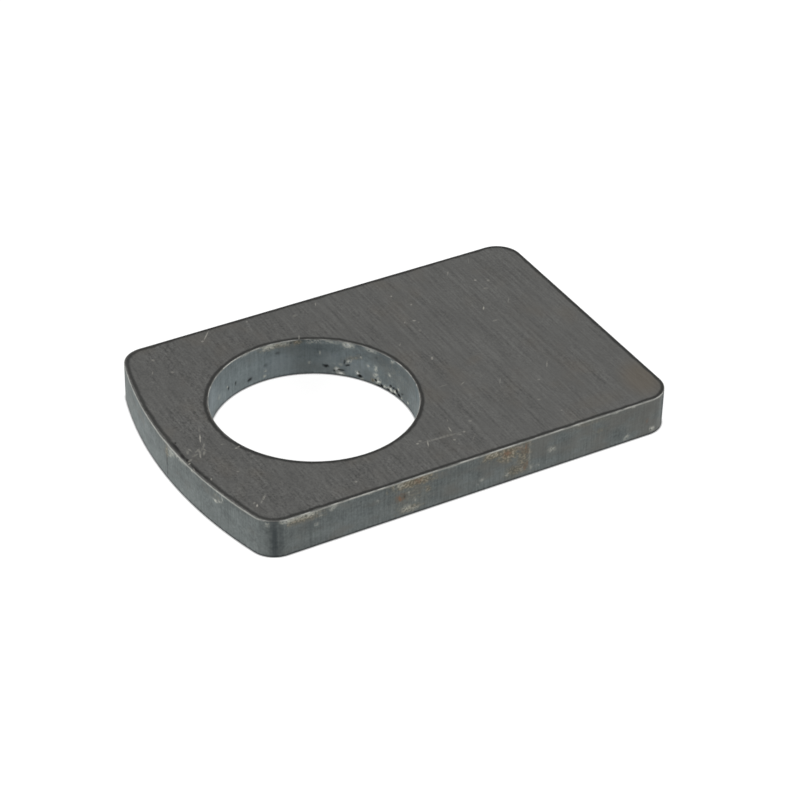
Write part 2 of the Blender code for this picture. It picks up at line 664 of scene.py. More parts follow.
@dataclass(frozen=True)
class PaleFloor:
    """A plain matt sweep. It reads as white to the camera and keeps a soft shadow."""

    name: str = "matt_white_sweep"
    paper: float = 0.4
    camera_part: float = 0.22
    glow: float = 0.82
    contact: float = 0.5 * MM
    shaded_part: float = 0.25

    def material(self) -> Material:
        """Build the node material.

        Returns:
            The material.
        """
        material, tree = new_material(self.name)
        plain = add_node(tree, "BsdfDiffuse", [(self.paper,) * 3 + (1.0,)])
        lit = add_node(tree, "BsdfDiffuse", [(self.camera_part,) * 3 + (1.0,)])
        open_sky = add_node(tree, "AmbientOcclusion", {"Distance": self.contact}, samples=8).outputs["AO"]
        span = [open_sky, 0.45, 0.9, self.shaded_part * self.glow, self.glow]
        strength = add_node(tree, "MapRange", span, **SMOOTH)
        glow = add_node(tree, "Emission", [WHITE, strength])
        white = add_node(tree, "AddShader", [lit, glow])
        mix = add_node(tree, "MixShader", [shown_white(tree), plain, white])
        add_node(tree, "OutputMaterial", [mix])
        return material


# Rows of strokes and marks give the values of their classes in order
TOP_STROKES = (
    # A scratch and a patch of scuffs beside the bow
    (-39.1, -1.4, 1.7, 0.2, 66, 1),
    (-38.1, 1.1, 0.9, 0.16, 66, 0.3),
    (-41.4, -6.1, 1, 0.24, 70, 0.65),
    (-41.2, -4.5, 1, 0.35, 30, 0.4),
    (-39.8, -4, 1.8, 0.3, 50, 0.3),
    (-41, -5.1, 1.1, 0.35, 80, 0.4),
    (-39.9, -4.9, 0.6, 0.25, -70, 0.4),
    (-40.5, -5.8, 1, 0.35, 60, 0.35),
    (-42.3, -3.7, 0.8, 0.3, -75, 0.35),
    (-43, -4.2, 0.9, 0.35, 60, 0.3),
    (-42.2, -5.6, 1, 0.4, 15, 0.3),
    (-43.7, -6.6, 0.8, 0.35, 30, 0.45),
    (-44.2, -7.4, 0.5, 0.25, 35, 0.6),
    (-44.3, -9.5, 1.1, 0.2, 75, 0.35),
    (-34.7, -7.1, 0.4, 0.32, 10, 0.55),
    (-34.1, -6.9, 0.35, 0.28, 10, 0.5),
    (-36.4, -4.9, 0.5, 0.3, 0, 0.25),
    (-42.8, -13.3, 0.5, 0.22, 65, 0.6),
    (-37.6, -13.5, 0.35, 0.35, 0, 0.3),
    # Beside the near bow corner
    (-39.2, -24, 0.55, 0.22, 60, 1),
    (-39.3, -23.1, 0.5, 0.3, 50, 0.35),
    (-37.1, -22.5, 1.2, 0.32, 45, 0.5),
    (-38, -23.4, 0.7, 0.25, 50, 0.35),
    (-20.6, -26.1, 0.4, 0.4, 0, 0.4),
    # Towards the far side
    (-23.3, 27.9, 2.3, 0.2, 48, 0.7),
    (-24.8, 26.5, 0.4, 0.35, 48, 0.6),
    (-35.8, 25.2, 0.5, 0.5, 0, 0.35),
    (-34.3, 19.9, 0.5, 0.4, 60, 0.35),
    (-37.7, 21.4, 0.8, 0.18, 60, 0.35),
    (-8.1, 18.9, 1.4, 0.18, 62, 0.45),
    (-14.3, 28.5, 0.6, 0.2, 60, 0.4),
    (0.2, 27.7, 0.8, 0.2, 65, 0.5),
    (-5.3, 26, 0.8, 0.5, 40, 0.2),
    # The long scratch beside the pin hole
    (-0.7, -21.8, 5.4, 0.4, -4, 0.26),
    (0.3, -21.6, 1.8, 0.18, -1, 0.25),
    (-5.3, -21.4, 0.4, 0.35, 0, 0.6),
    (-4.5, -20.9, 0.5, 0.4, 0, 0.3),
    (-3.6, -22.2, 1.3, 0.2, 66, 0.7),
    (2.1, -20.4, 1.1, 0.22, 80, 0.65),
    (3.1, -17.8, 0.6, 0.2, 70, 0.3),
    (4, -22.2, 0.42, 0.36, 0, 0.5),
    (2.8, -22.5, 0.7, 0.4, -20, 0.3),
    (1.2, -23.5, 0.42, 0.4, 0, 0.45),
    (1.3, -24.9, 0.5, 0.2, 65, 0.35),
    (6.7, -19.8, 0.5, 0.42, 0, 0.3),
    (4.8, -24.4, 1.6, 0.16, 46, 0.2),
    # The tail, near half
    (11.7, -8.8, 0.9, 0.2, 25, 0.35),
    (28.9, -10.9, 1.4, 0.17, 56, 0.5),
    (18.2, -11.5, 1.5, 0.17, 55, 0.3),
    (23.3, -24.9, 0.3, 0.3, 0, 0.4),
    (24.8, -14.5, 0.5, 0.35, 0, 0.35),
    (21.5, -20, 0.5, 0.4, 0, 0.3),
    (8, -7.8, 1.3, 0.25, 0, 0.2),
    # The tail, far half
    (10.8, 1, 0.7, 0.3, 60, 0.8),
    (14.5, 23.2, 0.4, 0.3, 50, 0.7),
    (16.5, 18.8, 0.4, 0.3, 50, 0.5),
    (14.2, 13.7, 0.5, 0.35, -30, 0.6),
    (12.3, 14, 0.5, 0.25, 50, 0.4),
    (14.7, 12.8, 0.4, 0.3, 0, 0.35),
    (13.5, 10.2, 0.6, 0.4, 60, 0.25),
    (28.3, 11.2, 0.8, 0.22, 55, 1),
    (34, 11.3, 1.4, 0.18, 55, 0.36),
    (28.5, 25.2, 1, 0.18, 55, 0.5),
    (34.5, 27.3, 1.5, 0.17, 63, 0.22),
    (32, 20.5, 0.4, 0.35, 50, 0.8),
    (34.2, 19.2, 0.6, 0.5, 60, 0.35),
    (32.3, 17, 0.7, 0.5, -20, 0.3),
    (28, 6.4, 0.8, 0.35, 0, 0.3),
    (7.7, 7.8, 0.7, 0.2, 50, 0.3),
)

TOP_CHIPS = (
    # The heat band is thicker and ragged where the bow was knocked
    (-44.1, -1.8, 2.4, 0.42, 89, 1),
    (-43.7, -0.6, 0.6, 0.3, 60, 0.8),
    (-44.25, -4.8, 1.3, 0.42, 84, 1),
    (-44.1, -6.3, 0.7, 0.4, 60, 0.9),
    (-43.95, -9.6, 2.2, 0.34, 97, 0.9),
    (-43.5, -12.4, 1, 0.26, 103, 0.7),
)

TOP_TINTS = (
    # The scale is browner at the near square corner and in a few spots of the tail
    (42, -23, 8, 5.5, 70, 0.6),
    (31, -25.5, 8, 3, 0, 0.2),
    (17.5, -3.2, 3.2, 1.6, 20, 0.2),
)

UNDERSIDE_STROKES = (
    (-31, 20, 3.2, 0.15, 28, 0.4),
    (12, -14, 6, 0.14, -12, 0.35),
    (24, 9, 2.2, 0.18, 64, 0.45),
    (31, -6, 0.4, 0.25, 0, 0.5),
    (18, 21, 0.35, 0.2, 0, 0.5),
    (-39, -17, 1.4, 0.18, 50, 0.45),
    (36, 22, 1.8, 0.16, 100, 0.4),
)

FRONT_MARKS = (
    (THIN, -24, 3, 5, 2.6, 0.2, 3),
    # Scuffed stretch beside the bow corner
    (FILM, -33.8, 7.1, 4.4, 0.9, 0.6, 4),
    (PALE, -34.3, 7.55, 3.6, 0.55, 0.55, 5),
    (PALE, -36.4, 7.6, 1.7, 0.45, 0.75, 4),
    (PALE, -31.8, 7.5, 1.5, 0.5, 0.7, 3),
    (PALE, -29.8, 6.5, 0.35, 0.8, 0.5, 2, 10),
    (PALE, -27.3, 7.3, 0.9, 0.5, 0.65, 3, 30),
    (SCALE, -31.8, 5.1, 1.3, 1, 0.45, 2, -35),
    (PALE, -30.6, 4.75, 0.5, 0.5, 0.5),
    (PALE, -18.3, 5.4, 0.4, 0.4, 0.4),
    (PALE, -19.9, 7.7, 0.6, 0.35, 0.45),
    # First rust patch
    (FILM, -11.3, 4.4, 4, 3, 0.3, 4),
    (FILM, -11, 7.05, 3.9, 0.95, 0.95, 5),
    (PALE, -13.9, 7.2, 1, 0.55, 0.42, 3),
    (RUST, -10.2, 6.9, 1.1, 0.7, 0.75),
    (RUST, -13.6, 4.5, 0.9, 0.8, 0.85, 2, 20),
    (PIT, -12.9, 4.5, 0.3, 0.45, 0.5),
    (PALE, -12, 4.9, 0.16, 0.6, 0.5),
    (SCALE, -9.7, 4.3, 0.2, 0.8, 0.5),
    (FILM, -7.9, 4.5, 0.7, 0.8, 0.6),
    (SCALE, -7.9, 4.5, 0.6, 0.8, 0.3),
    (SCALE, -11.9, 5, 1.3, 0.9, 0.3, 3),
    (PALE, -10.7, 2.9, 0.2, 0.4, 0.65),
    (FILM, -11.7, 1.5, 2.3, 0.8, 0.6, 3),
    (PALE, -12.4, 1.7, 1.1, 0.75, 0.55, 3),
    (PALE, -11, 1.2, 1.4, 0.3, 0.6, 3),
    # Between the patches
    (PALE, -3, 7.7, 1.4, 0.3, 0.4, 3),
    (PALE, 3.3, 2.4, 0.45, 0.45, 0.5),
    (PALE, 2.4, 1.7, 0.3, 0.3, 0.4),
    # Second rust patch
    (FILM, 5.6, 7.1, 2, 0.85, 0.95, 4),
    (FILM, 8.8, 6.4, 2, 1.4, 0.95, 4),
    (FILM, 8.6, 5, 1.1, 0.9, 0.55),
    (FILM, 12, 4.7, 1.5, 3.4, 0.55, 5),
    (FILM, 10.7, 2.1, 2.6, 1.3, 0.55, 3),
    (SCALE, 12, 4.4, 1.3, 3, 0.4, 4),
    (SCALE, 10.4, 2.1, 1.8, 1.1, 0.45, 3),
    (PALE, 5.5, 7.15, 1.3, 0.5, 0.32, 3),
    (PALE, 11.2, 7.1, 0.8, 0.5, 0.3, 3),
    (RUST, 8.5, 6.6, 1.1, 0.8, 0.7),
    (RUST, 11.2, 6.9, 0.8, 0.8, 0.65),
    (RUST, 12.6, 6.2, 0.7, 1.6, 0.7),
    (RUST, 12.5, 2.4, 0.6, 0.9, 0.85),
    (PALE, 13.5, 4.7, 0.18, 3.3, 0.5, 3),
    (PALE, 8.6, 1.8, 0.35, 0.45, 0.75),
    (PIT, 10.2, 2.2, 0.25, 0.7, 0.4),
    (PALE, 11.8, 2.1, 0.25, 0.5, 0.6),
    (PALE, 13.9, 1.6, 0.35, 0.5, 0.5),
    (PALE, 15.3, 1.6, 0.7, 0.35, 0.4),
    # Towards the square end
    (PALE, 18.1, 4.2, 0.9, 0.7, 0.55),
    (FILM, 28.7, 4.8, 0.8, 0.7, 0.35),
    (FILM, 27, 7.3, 5, 0.6, 0.3, 4),
    (PALE, 23.8, 7.7, 0.7, 0.35, 0.5),
    (PALE, 31.9, 7.7, 0.7, 0.35, 0.6),
    (PALE, 35.8, 7.75, 0.6, 0.3, 0.6),
    (PALE, 34.7, 1.2, 0.85, 0.45, 0.6, 2, 40),
    (RUST, 39.1, 3.4, 0.5, 0.8, 0.35),
    (PALE, 40.4, 1.2, 0.6, 0.6, 0.85),
)

TAIL_CORNER_MARKS = (
    # Painted shade in upright bands across the corner, laid in the scale layer, with a paler stretch between
    # them
    (THIN, 298, 4, 0.8, 5, 0.2, 4),
    (SCALE, 284, 4.2, 0.6, 4, 0.35, 6),
    (SCALE, 314, 3.8, 0.9, 4.6, 1, 6),
)

BOW_MARKS = (
    (THIN, 11, 4.5, 7, 4.5, 0.2, 3),
    # Scuff at the crown, over the line where the cut began
    (PALE, 3.5, 7.8, 3.2, 0.3, 0.4, 4),
    (FILM, 0.3, 6.3, 0.7, 1.6, 0.5, 3),
    (PALE, -1.5, 7.2, 1.2, 0.85, 0.62, 3),
    (PALE, -1, 6.1, 0.6, 0.5, 0.6, 2, 30),
    (PALE, -4.3, 7.6, 2.1, 0.4, 0.6, 4),
    (SCALE, 0.25, 3, 0.25, 2.4, 0.45, 3),
    (PIT, 0.25, 2.4, 0.2, 2.6, 0.75, 4, 0, -0.04),
    (PALE, -9, 7.7, 0.5, 0.35, 0.8, 2, 0, -0.05),
    # Hooked scratch
    (PALE, -18.2, 7, 0.25, 0.8, 0.55),
    (PALE, -17.6, 6, 0.6, 0.28, 0.7, 2, 50),
    (PALE, -16.3, 5.5, 0.9, 0.32, 0.75, 2, 5),
    (FILM, -16.8, 6.5, 1.2, 0.8, 0.3),
)

BOW_CORNER_MARKS = (
    # Painted shade in upright bands across the corner where it faces the camera, laid in the scale layer,
    # and on the rim above them, so the rim isn't rubbed pale there. The rim is scuffed on both sides of that
    (SCALE, 243, 3.6, 0.7, 4.6, 0.85, 6),
    (SCALE, 258, 3.6, 0.45, 4.6, 0.5, 6),
    (SCALE, 237, 7.95, 1.3, 0.35, 0.85, 6),
    (PALE, 228, 7.2, 0.5, 0.6, 0.5, 3),
    (PALE, 263, 7.5, 0.9, 0.5, 0.6, 3),
)

BORE_MARKS = (
    # Paler stretches, where the oxide is thinner
    (THIN, 82, 3, 3.4, 2.6, 0.5, 3),
    (THIN, 52, 3.2, 2.8, 2.4, 0.4, 3),
    (THIN, 37, 2.6, 3, 2.4, 0.45, 3),
    (THIN, 139, 5, 3.4, 4.5, 0.4, 3),
    (THIN, 97, 1.8, 2.6, 1.8, 0.25, 3),
    # Painted shade laid in the scale layer: a dark cloud at the middle of the wall in view, where it faces
    # the camera, more over the near stretch, and a dark, unrubbed rim in stretches
    (SCALE, 64, 6.1, 7, 1, 0.35, 4),
    (SCALE, 67, 4.8, 2.8, 3.2, 0.2, 3),
    (SCALE, 12, 6.3, 9.5, 1.9, 0.72, 4),
    (SCALE, 8, 4, 9, 5.5, 0.58, 4),
    (FILM, 8, 4.5, 7, 4.2, 0.18, 3),
    (SCALE, 65, 7.9, 4.5, 0.5, 0.6, 4),
    (SCALE, 36, 8, 13, 0.25, 0.6, 6),
    (SCALE, 35.5, 7.9, 1, 0.5, 0.7, 4),
    (SCALE, 18, 7.9, 4.5, 0.8, 0.7, 4),
    # Torn, pale lip under the rim
    (PALE, 103.5, 7.75, 0.9, 0.35, 0.5, 3),
    (FILM, 84, 7.4, 3.4, 0.8, 0.5, 4),
    (PALE, 87.5, 7.5, 1.5, 0.55, 0.75, 3, 0, -0.03),
    (PALE, 79.5, 7.6, 1.2, 0.45, 0.6, 3, 0, -0.03),
    (PIT, 74.9, 7.4, 0.3, 0.25, 0.5),
    (FILM, 71.8, 7.5, 0.9, 0.6, 0.7, 3),
    (PALE, 61.5, 7.5, 1.4, 0.5, 0.6, 3),
    (PALE, 53, 7.5, 2.2, 0.45, 0.5, 3),
    (PALE, 42.6, 7.4, 1.2, 0.65, 0.85, 4),
    (PALE, 28.5, 7.55, 1.4, 0.42, 0.48, 3),
    (PALE, 12.3, 7.5, 0.8, 0.42, 0.5, 2, 30),
    # Pits, their dark partly painted shade in the dents
    (PIT, 100.5, 1.55, 0.6, 0.4, 0.75, 2, 35, -0.12),
    (PIT, 117.3, 2.45, 0.25, 0.45, 0.7, 2, 0, -0.1),
    (PIT, 111.4, 2.6, 0.28, 0.45, 0.7, 2, 0, -0.1),
    (PIT, 55, 1.85, 0.75, 0.45, 0.75, 2, -15, -0.12),
    (PIT, 46.7, 1.3, 0.95, 0.22, 0.8, 2, -5, -0.1),
    (PIT, 50.2, 1, 0.25, 0.3, 0.7, 2, 0, -0.06),
    (PIT, 35.1, 0.9, 0.5, 0.35, 1, 2, 0, -0.14),
    (PIT, 35.8, 1.75, 0.25, 0.22, 0.7, 2, 0, -0.06),
    (PIT, 44.4, 3.35, 0.22, 0.65, 0.8, 2, -12, -0.08),
    (PIT, 42.4, 2.7, 0.75, 0.22, 0.8, 2, 20, -0.08),
    (PIT, 90, 3.5, 0.5, 0.45, 0.4, 2, 20, -0.06),
    (PIT, 82.8, 5.6, 0.6, 0.4, 0.45, 2, 0, -0.06),
    (PIT, 24.4, 6.35, 0.45, 0.4, 0.4, 2, 0, -0.04),
    # Pale crumbs of spatter; the strongest carry a painted glint in the middle
    (PALE, 58.5, 5, 0.2, 0.5, 0.6),
    (FILM, 39.5, 4.6, 2.2, 0.6, 0.4, 2, 25),
    (PALE, 41.8, 3.65, 0.82, 0.35, 0.85, 2, 40, 0.04),
    (PALE, 34.7, 5.5, 0.22, 0.42, 0.65, 2, 0, 0.03),
    (PALE, 127.7, 2.55, 0.7, 0.55, 0.4),
    (PALE, 118.6, 3.1, 0.3, 0.3, 0.6, 2, 0, 0.03),
    (PALE, 90, 2.3, 0.4, 0.3, 0.7, 2, 0, 0.03),
    (PALE, 90.6, 1.1, 0.4, 0.35, 0.85, 2, 0, 0.03),
    (PALE, 64.4, 2.6, 0.35, 0.35, 0.5),
    (PALE, 48.8, 1.45, 0.58, 0.55, 1, 2, 0, 0.05),
    (PALE, 46.7, 2.65, 0.4, 0.35, 0.65, 2, 0, 0.04),
    (PALE, 50.8, 2.6, 0.35, 0.3, 0.35),
    (PALE, 46.5, 0.6, 1.05, 0.5, 1, 2, 0, 0.06),
    (PALE, 36.6, 1.45, 0.42, 0.65, 1, 2, 35, 0.06),
    (PALE, 33.5, 0.45, 0.45, 0.25, 0.8, 2, 20, 0.04),
    (PALE, 29.8, 3.85, 0.35, 0.4, 0.5),
    (PALE, 24.8, 3.8, 0.45, 0.9, 0.6),
    (PALE, 24.4, 2.3, 0.7, 0.7, 0.68, 2, 0, 0.04),
    (PALE, 14.5, 4.05, 0.5, 0.45, 0.6),
    (PALE, 6.6, 2.3, 0.4, 0.6, 0.7, 2, 0, 0.03),
    # The rough lower edge
    (FILM, 26.6, 0.9, 0.45, 0.4, 0.8),
    (PIT, 24.6, 1.25, 0.3, 0.3, 1, 2, 0, -0.1),
    (PALE, 22.7, 1.15, 0.8, 0.6, 0.87, 2, 30, 0.07),
    (PIT, 22.3, 0.3, 0.7, 0.2, 1, 2, 0, -0.08),
    (PIT, 20.4, 0.6, 0.4, 0.4, 1, 2, 30, -0.1),
    (PALE, 17.6, 0.85, 0.95, 0.42, 0.87, 2, 15, 0.06),
    (PIT, 15.6, 0.5, 0.4, 0.2, 1, 2, 0, -0.08),
    (PIT, 13.6, 1.65, 0.45, 0.3, 0.9, 2, 30, -0.08),
    (PALE, 13.2, 0.95, 0.45, 0.6, 0.87, 2, 40, 0.06),
    (PIT, 11, 1.6, 0.5, 0.25, 0.9, 2, 20, -0.08),
    (PALE, 9.7, 0.95, 0.75, 0.42, 0.87, 2, 20, 0.06),
    (PIT, 10.8, 0.35, 0.6, 0.22, 1, 2, 20, -0.1),
    (PIT, 8.2, 1.4, 0.35, 0.5, 1, 2, 0, -0.1),
    (PIT, 6.2, 0.85, 0.55, 0.45, 1, 2, 0, -0.12),
    (PIT, 3, 1.75, 0.55, 0.2, 0.6, 2, 20, -0.05),
    (PALE, 3.4, 0.7, 0.45, 0.25, 0.6, 2, 20, 0.04),
    (PALE, -3.5, 1.2, 0.35, 0.35, 0.8, 2, 0, 0.03),
)

SEEN_ROWS = {
    Side.FRONT: FRONT_MARKS,
    Side.TAIL_CORNER: TAIL_CORNER_MARKS,
    Side.BOW: BOW_MARKS,
    Side.BOW_CORNER: BOW_CORNER_MARKS,
    Side.BORE: BORE_MARKS,
}
SEEN_MARKS = {side: [Mark(*row) for row in rows] for side, rows in SEEN_ROWS.items()}


@dataclass
class PlateOutline:
    """Where the plate's edges run, and how far a point lies from them."""

    length: float = 90.0 * MM
    width: float = 60.0 * MM
    bow_radius: float = 92.5 * MM
    corner_radius: float = 5.0 * MM
    hole_radius: float = 19.5 * MM
    hole_x: float = -15.0 * MM

    @property
    def bow_x(self) -> float:
        """Centre of the bow's arc."""
        return self.bow_radius - self.length / 2

    @property
    def corner_y(self) -> float:
        """Distance of every corner's centre from the plate's middle line."""
        return self.width / 2 - self.corner_radius

    @property
    def square_x(self) -> float:
        """Centre of the square end's corners."""
        return self.length / 2 - self.corner_radius

    @property
    def bow_corner_x(self) -> float:
        """Centre of the corners that touch the bow from inside."""
        return self.bow_x - math.sqrt((self.bow_radius - self.corner_radius) ** 2 - self.corner_y ** 2)

    @property
    def bow_half_angle(self) -> float:
        """Half the angle that the bow's arc spans."""
        return math.asin(self.corner_y / (self.bow_radius - self.corner_radius))

    def rim_distance(self, points: np.ndarray) -> np.ndarray:
        """How far points on a face are from the nearest cut edge.

        Args:
            points: One row of x, y and z for each point.

        Returns:
            The distances, in metres.
        """
        x, y = points[:, 0], np.abs(points[:, 1])
        hole = np.hypot(x - self.hole_x, y) - self.hole_radius
        side = self.width / 2 - y
        end = self.length / 2 - x
        bow = self.bow_radius - np.hypot(x - self.bow_x, y)
        outer = np.minimum(np.minimum(side, end), bow)
        square = (x > self.square_x) & (y > self.corner_y)
        at_square = self.corner_radius - np.hypot(x - self.square_x, y - self.corner_y)
        outer = np.where(square, at_square, outer)
        dx, dy = self.bow_corner_x - x, y - self.corner_y
        turned = np.arctan2(dy, dx)
        at_bow = (turned > self.bow_half_angle) & (dx > 0) & (dy > 0)
        outer = np.where(at_bow, self.corner_radius - np.hypot(dx, dy), outer)
        return np.minimum(outer, hole)


@dataclass
class LockingPlate:
    """The steel plate, cut in one piece.

    Attributes:
        outline: Where its edges run.
        thickness: Its depth.
        edge_break: How far its edges are rubbed back.
        step: Spacing of the points along the outline.
        fewest_steps: The fewest steps in an arc.
        wall_rows: Rows of faces down the outer wall.
        bore_rows: Rows of faces down the pin hole.
        band_rings: Widths of the rings of faces beside each edge, where the dark band is.
        break_segments: Rows of faces across a broken edge.
        crisp_angle: How sharp an edge is before it is broken.
        smooth_angle: How sharp an edge still looks smooth.
        cap_step: Edges of the two faces that are longer than this are divided.
        cap_cuts: How often they are cut.
        corner_overlap: How far the near side's marks reach round the square corner.
        ragged_grain: Grain of the noise that makes a mark's outline ragged.
        raggedness: How much that noise widens or narrows it.
        mark_core: A mark's paint at its middle, cut off at 1.
        mark_fall: How much of it is lost on the way to its outline.
        unevenness: Waves of the cut: width, height, shift and depth of each, in mm.
        hidden_crumbs: Crumbs on each hidden wall.
        hidden_pits: Pits on each hidden wall.
        seed: Start of the random draws for the hidden walls.
        piece: The finished mesh object.
    """

    outline: PlateOutline = field(default_factory=PlateOutline)
    thickness: float = 8.0 * MM
    edge_break: float = 0.15 * MM
    step: float = 0.42 * MM
    fewest_steps: int = 8
    wall_rows: int = 26
    bore_rows: int = 34
    band_rings: tuple[float, ...] = (0.15 * MM, 0.15 * MM, 0.2 * MM, 0.25 * MM, 0.4 * MM, 0.6 * MM)
    break_segments: int = 3
    crisp_angle: float = math.radians(60)
    smooth_angle: float = math.radians(35)
    cap_step: float = 3.0 * MM
    cap_cuts: int = 5
    corner_overlap: float = 2.0 * MM
    ragged_grain: float = 0.6 * MM
    raggedness: float = 0.5
    mark_core: float = 1.25
    mark_fall: float = 0.85
    unevenness: Rows = ((1.1, 6.0, 0.0, 0.012), (0.5, 2.0, 9.0, 0.006))
    hidden_crumbs: int = 14
    hidden_pits: int = 7
    seed: int = 11
    piece: bpy.types.Object | None = None

    def select(self, test: Callable[[Any], bool], kind: Element = Element.FACE) -> None:
        """Select the mesh elements that pass a test, and nothing else.

        Args:
            test: Says whether a bmesh element is wanted.
            kind: What is selected.
        """
        bpy.ops.mesh.select_mode(type=kind.name)
        bpy.ops.mesh.select_all(action="DESELECT")
        mesh = bmesh.from_edit_mesh(self.piece.data)
        for element in [e for e in getattr(mesh, kind.value) if test(e)]:
            element.select_set(True)
        mesh.select_flush_mode()
        bmesh.update_edit_mesh(self.piece.data)

    def draw_straight(self, x: float, y: float) -> None:
        """Extrude the outline's open end by x and y."""
        bpy.ops.mesh.extrude_vertices_move(TRANSFORM_OT_translate={"value": (x, y, 0.0)})

    def draw_arc(self, x: float, y: float, radius: float, angle: float) -> None:
        """Spin the outline's open end anticlockwise.

        Args:
            x: The arc's centre along the plate.
            y: The arc's centre across the plate.
            radius: The arc's radius, which sets the number of steps.
            angle: How far it turns.
        """
        steps = max(self.fewest_steps, round(radius * angle / self.step))
        bpy.ops.mesh.spin(steps=steps, angle=angle, center=(x, y, self.thickness), axis=(0, 0, -1))

    def draw_outline(self) -> None:
        """Draw the closed outline of the upper face, from the square end anticlockwise."""
        o = self.outline
        bpy.ops.mesh.primitive_plane_add(size=MM, location=(o.length / 2, -o.corner_y, self.thickness))
        self.piece = bpy.context.object
        self.piece.name = self.piece.data.name = "steel_plate"
        bpy.ops.object.transform_apply(location=True, rotation=True, scale=True)
        bpy.ops.object.mode_set(mode="EDIT")
        bpy.ops.mesh.select_all(action="SELECT")
        bpy.ops.mesh.merge(type="CENTER")
        straight = o.square_x - o.bow_corner_x
        corner_turn = math.pi / 2 - o.bow_half_angle
        self.draw_straight(0.0, 2 * o.corner_y)
        self.draw_arc(o.square_x, o.corner_y, o.corner_radius, math.pi / 2)
        self.draw_straight(-straight, 0.0)
        self.draw_arc(o.bow_corner_x, o.corner_y, o.corner_radius, corner_turn)
        self.draw_arc(o.bow_x, 0.0, o.bow_radius, 2 * o.bow_half_angle)
        self.draw_arc(o.bow_corner_x, -o.corner_y, o.corner_radius, corner_turn)
        self.draw_straight(straight, 0.0)
        self.draw_arc(o.square_x, -o.corner_y, o.corner_radius, math.pi / 2)
        bpy.ops.mesh.select_all(action="SELECT")
        bpy.ops.mesh.remove_doubles(threshold=WELD)

        # Each straight edge is split in two rounds, to the spacing of the arcs
        for length in (2 * o.corner_y, straight):
            cuts = round(math.sqrt(length / self.step)) - 1
            self.select(lambda e: abs(e.calc_length() - length) < WELD, Element.EDGE)
            bpy.ops.mesh.subdivide(number_cuts=cuts)
            self.select(lambda e: abs(e.calc_length() - length / (cuts + 1)) < WELD, Element.EDGE)
            bpy.ops.mesh.subdivide(number_cuts=cuts)

    def is_bore(self, x: float, y: float) -> bool:
        """Whether a point of a wall belongs to the pin hole."""
        return math.hypot(x - self.outline.hole_x, y) < self.outline.hole_radius + 2 * self.edge_break

    def shape_solid(self) -> None:
        """Cut the pin hole, give the plate its thickness and break its edges."""
        o = self.outline
        points = len(bmesh.from_edit_mesh(self.piece.data).verts)
        bpy.ops.mesh.primitive_circle_add(
            vertices=points, radius=o.hole_radius, location=(o.hole_x, 0.0, self.thickness),
        )
        bpy.ops.mesh.select_all(action="SELECT")
        bpy.ops.mesh.bridge_edge_loops()
        bpy.ops.mesh.select_all(action="SELECT")
        bpy.ops.mesh.extrude_region_move(TRANSFORM_OT_translate={"value": (0.0, 0.0, -self.thickness)})
        bpy.ops.mesh.select_all(action="SELECT")
        bpy.ops.mesh.normals_make_consistent(inside=False)
        self.select(
            lambda e: len(e.link_faces) == 2 and e.calc_face_angle() > self.crisp_angle, Element.EDGE,
        )
        bpy.ops.mesh.bevel(
            offset=self.edge_break, segments=self.break_segments, profile=0.5, clamp_overlap=False,
        )

    def refine_skin(self) -> None:
        """Divide the faces beside the edges and down the walls, where the skin has its detail."""
        for level in (self.thickness, 0.0):
            self.select(lambda f: all(abs(v.co.z - level) < WELD for v in f.verts))
            for ring in self.band_rings:
                bpy.ops.mesh.inset(thickness=ring)
        self.select(
            lambda e: e.calc_length() > self.cap_step and abs(e.verts[0].co.z - e.verts[1].co.z) < WELD,
            Element.EDGE,
        )
        bpy.ops.mesh.subdivide(number_cuts=self.cap_cuts)
        for bore, rows in ((False, self.wall_rows), (True, self.bore_rows)):
            self.select(
                lambda e: abs(e.verts[0].co.z - e.verts[1].co.z) > self.thickness / 2
                and self.is_bore(e.verts[0].co.x, e.verts[0].co.y) == bore,
                Element.EDGE,
            )
            bpy.ops.mesh.subdivide(number_cuts=rows - 1)
        bpy.ops.object.mode_set(mode="OBJECT")

    def points(self) -> np.ndarray:
        """Read the piece's points.

        Returns:
            One row of x, y and z for each point.
        """
        co = np.empty(len(self.piece.data.vertices) * 3, np.float32)
        self.piece.data.vertices.foreach_get("co", co)
        return co.reshape(-1, 3).astype(float)

    def unrolled(self, side: Side, co: np.ndarray) -> tuple[np.ndarray, np.ndarray, np.ndarray]:
        """Points as seen from a wall laid out flat.

        Args:
            side: The wall.
            co: One row of x, y and z for each point.

        Returns:
            For each point its place along the wall, whether it lies on the wall, and the direction out of
            the steel.
        """
        o = self.outline
        x, y = co[:, 0], co[:, 1]
        if side in (Side.FRONT, Side.BACK):
            sign = -1.0 if side is Side.FRONT else 1.0
            on = (x > o.bow_corner_x) & (x < o.square_x + self.corner_overlap)
            on &= np.abs(y - sign * o.width / 2) < WALL_REACH
            return x, on, np.tile([0.0, sign, 0.0], (len(co), 1))
        if side is Side.END:
            on = (np.abs(x - o.length / 2) < WALL_REACH) & (np.abs(y) < o.corner_y)
            return y, on, np.tile([1.0, 0.0, 0.0], (len(co), 1))
        centre_x, centre_y, radius, turn = {
            Side.BOW: (o.bow_x, 0.0, o.bow_radius, 1.0),
            Side.BOW_CORNER: (o.bow_corner_x, -o.corner_y, o.corner_radius, 1.0),
            Side.TAIL_CORNER: (o.square_x, -o.corner_y, o.corner_radius, 1.0),
            Side.BORE: (o.hole_x, 0.0, o.hole_radius, -1.0),
        }[side]
        dx, dy = x - centre_x, y - centre_y
        reach = np.hypot(dx, dy)
        out = turn * np.c_[dx, dy, np.zeros(len(co))] / np.maximum(reach, WELD)[:, None]
        on = np.abs(reach - radius) < WALL_REACH
        if side is Side.BOW:
            return -y, on & (np.abs(y) < o.corner_y) & (x < 0), out
        angle = np.mod(np.arctan2(dy, dx), 2 * math.pi)
